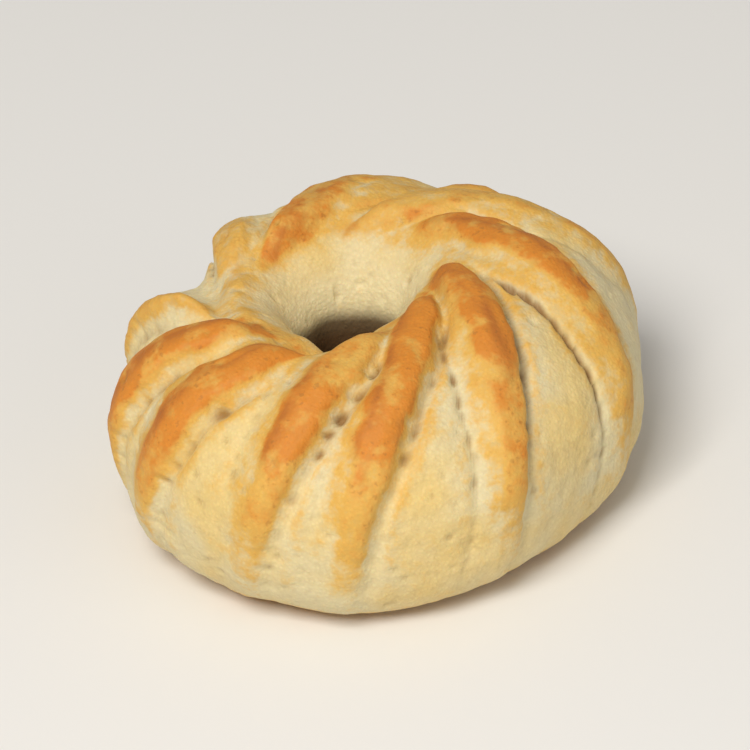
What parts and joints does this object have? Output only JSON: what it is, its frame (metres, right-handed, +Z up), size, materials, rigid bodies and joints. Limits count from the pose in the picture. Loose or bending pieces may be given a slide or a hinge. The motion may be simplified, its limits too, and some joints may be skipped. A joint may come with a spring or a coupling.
{
  "type": "maamoul cookie",
  "caption": "Ring-shaped baked maamoul cookie with slanting pinched ridges that swirl round a small hole, golden brown on the crests.",
  "frame": {"origin": "middle of the flat underside, below the middle of the cookie's box, on the surface it stands on", "axes": "+Z up, out of the top of the ring; +X to the right and +Y to the back, with the hole slightly off to -X and +Y"},
  "size_m": [0.0466, 0.0478, 0.0226],
  "materials": {
    "baked_dough": "matte baked semolina and butter dough, pale with golden brown crests"
  },
  "bodies": {
    "root": {"cookie": "baked_dough"}
  },
  "joints": []
}
